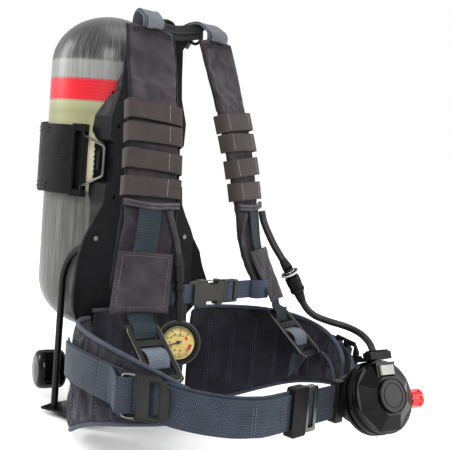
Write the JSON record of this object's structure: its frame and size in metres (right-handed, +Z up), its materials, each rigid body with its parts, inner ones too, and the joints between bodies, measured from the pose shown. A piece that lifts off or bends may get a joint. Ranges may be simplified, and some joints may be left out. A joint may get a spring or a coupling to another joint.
{
  "type": "self-contained breathing air pack",
  "caption": "Breathing air pack: composite cylinder on a black metal backplate with padded harness, waist belt, pressure gauge, hoses and a front regulator.",
  "frame": {"origin": "underside of the foot bumper, under the middle of the backplate's front face", "axes": "+Z up, -Y the way the wearer faces, +X the wearer's left"},
  "size_m": [0.4202, 0.6029, 0.59],
  "materials": {
    "black_plate": "matt black anodised sheet",
    "rubber": "black rubber",
    "bright_steel": "zinc plated",
    "band_web": "woven band",
    "black_moulding": "moulded, satin",
    "composite": "fibre wound, clear gel coat",
    "liner": "satin",
    "dark_metal": "dark phosphate",
    "valve_metal": "plated, satin",
    "brass_part": "turned",
    "hose_rubber": "matt rubber hose",
    "dial": "cream yellow printed dial",
    "needle": "matt black",
    "lens": "clear window",
    "pad_fabric": "coated twill, padded",
    "loop_web": "coarse webbing",
    "strap_web": "ribbed webbing",
    "yoke_web": "ribbed webbing",
    "belt_web": "ribbed webbing",
    "gloss_black": "polished moulding",
    "grey_button": "soft button",
    "red_knob": "ribbed knob"
  },
  "bodies": {
    "frame": {"backplate": "black_plate", "guard_frame": "black_plate", "foot_bumper": "rubber", "plate_rivets": "bright_steel", "cylinder_saddles": "rubber", "cylinder_band": "band_web", "hook_rack": "black_plate", "latch_pin": "bright_steel", "cylinder_wrap": "composite", "cylinder_liner": "liner", "neck_ring": "dark_metal", "valve_body": "valve_metal", "valve_guard": "valve_metal", "reducer_body": "valve_metal", "reducer_cap": "dark_metal", "reducer_spring": "bright_steel", "gauge_hose": "hose_rubber", "gauge_fitting": "hose_rubber", "gauge_boot": "rubber", "gauge_case": "valve_metal", "gauge_dial": "dial", "gauge_lens": "lens", "supply_hose": "hose_rubber", "connect_body": "black_moulding", "shoulder_pad_right": "pad_fabric", "shoulder_pad_left": "pad_fabric", "strap_loops": "loop_web", "strap_flaps": "pad_fabric", "shoulder_webbing": "strap_web", "yoke": "yoke_web", "chest_strap": "belt_web", "chest_strap_lead": "belt_web", "chest_buckle_socket": "black_moulding", "lumbar_pad": "pad_fabric", "waist_wing_right": "pad_fabric", "waist_wing_left": "pad_fabric", "waist_webbing": "belt_web", "waist_belt_lead": "belt_web", "waist_buckle_socket": "black_moulding", "regulator_holder": "bright_steel", "regulator_housing": "gloss_black", "regulator_cover": "gloss_black"},
    "handwheel": {"handwheel": "black_moulding", "valve_spindle": "valve_metal"},
    "nut": {"coupling_nut": "valve_metal"},
    "piston": {"reducer_piston": "brass_part"},
    "lever": {"latch_lever": "black_moulding"},
    "bail": {"latch_bail": "bright_steel"},
    "needle": {"gauge_needle": "needle"},
    "sleeve": {"connect_sleeve": "black_moulding"},
    "shoulder_adjuster_r": {"shoulder_adjuster_right": "dark_metal"},
    "shoulder_adjuster_l": {"shoulder_adjuster_left": "dark_metal"},
    "chest_plug": {"chest_buckle_plug": "black_moulding"},
    "waist_adjuster_r": {"waist_adjuster_right": "dark_metal"},
    "waist_adjuster_l": {"waist_adjuster_left": "dark_metal"},
    "waist_tongue": {"waist_buckle_tongue": "bright_steel"},
    "diaphragm": {"regulator_diaphragm": "rubber"},
    "release_latch": {"regulator_latch": "gloss_black"},
    "button": {"saver_button": "grey_button"},
    "purge": {"purge_knob": "red_knob"}
  },
  "joints": [
    {"name": "handwheel_turn", "type": "hinge", "parent": "frame", "child": "handwheel", "pos_m": [0, 0.103, 0.05], "axis": [-0.9397, 0.342, 0], "range_deg": [0, 630]},
    {"name": "coupling_nut_turn", "type": "hinge", "parent": "frame", "child": "nut", "pos_m": [0, 0.103, 0.05], "axis": [0, -1, 0], "range_deg": [0, 330]},
    {"name": "reducer_piston_slide", "type": "slide", "parent": "frame", "child": "piston", "axis": [1, 0, 0], "range_m": [-0.002, 0.001], "stiffness_N_per_m": 8000, "deforming": ["reducer_spring"]},
    {"name": "latch_lever_swing", "type": "hinge", "parent": "frame", "child": "lever", "pos_m": [-0.05193, 0.18611, 0.375], "axis": [0, 0, -1], "range_deg": [0, 100]},
    {"name": "latch_bail_swing", "type": "hinge", "parent": "lever", "child": "bail", "pos_m": [-0.07959, 0.04932, 0.375], "axis": [0, 0, -1], "range_deg": [0, 90]},
    {"name": "gauge_needle_turn", "type": "hinge", "parent": "frame", "child": "needle", "pos_m": [-0.076, -0.174, 0.158], "axis": [0.633, 0.7544, -0.1736], "range_deg": [-100, 120]},
    {"name": "connect_sleeve_slide", "type": "slide", "parent": "frame", "child": "sleeve", "axis": [-0.4433, 0.2463, 0.8619], "range_m": [0, 0.004], "stiffness_N_per_m": 900},
    {"name": "shoulder_adjuster_right_tilt", "type": "hinge", "parent": "frame", "child": "shoulder_adjuster_r", "pos_m": [-0.127, -0.16, 0.181], "axis": [-0.991, 0.1339, 0], "range_deg": [0, 24]},
    {"name": "shoulder_adjuster_left_tilt", "type": "hinge", "parent": "frame", "child": "shoulder_adjuster_l", "pos_m": [0.127, -0.16, 0.181], "axis": [-0.991, -0.1339, 0], "range_deg": [0, 24]},
    {"name": "chest_buckle_release", "type": "slide", "parent": "frame", "child": "chest_plug", "axis": [1, 0, 0], "range_m": [0, 0.028], "deforming": ["chest_strap_lead"]},
    {"name": "waist_adjuster_right_tilt", "type": "hinge", "parent": "frame", "child": "waist_adjuster_r", "pos_m": [-0.2, -0.219, 0.123], "axis": [0.0637, 0.0284, -0.9976], "range_deg": [0, 20]},
    {"name": "waist_adjuster_left_tilt", "type": "hinge", "parent": "frame", "child": "waist_adjuster_l", "pos_m": [0.2, -0.219, 0.123], "axis": [0.0637, -0.0284, 0.9976], "range_deg": [0, 20]},
    {"name": "waist_buckle_release", "type": "slide", "parent": "frame", "child": "waist_tongue", "axis": [1, 0, 0], "range_m": [0, 0.024], "deforming": ["waist_belt_lead"]},
    {"name": "diaphragm_breath", "type": "slide", "parent": "frame", "child": "diaphragm", "axis": [0.2196, 0.9008, -0.3746], "range_m": [0, 0.004], "stiffness_N_per_m": 300},
    {"name": "release_latch_press", "type": "hinge", "parent": "frame", "child": "release_latch", "pos_m": [0.08621, -0.35014, 0.15892], "axis": [-0.9715, 0.2368, 0], "range_deg": [0, 8], "stiffness_Nm_per_rad": 0.5},
    {"name": "saver_button_press", "type": "slide", "parent": "frame", "child": "button", "axis": [0.2196, 0.9008, -0.3746], "range_m": [0, 0.002], "stiffness_N_per_m": 900},
    {"name": "purge_knob_turn", "type": "hinge", "parent": "frame", "child": "purge", "pos_m": [0.08064, -0.373, 0.10868], "axis": [0.9715, -0.2368, 0], "range_deg": [0, 180]}
  ]
}
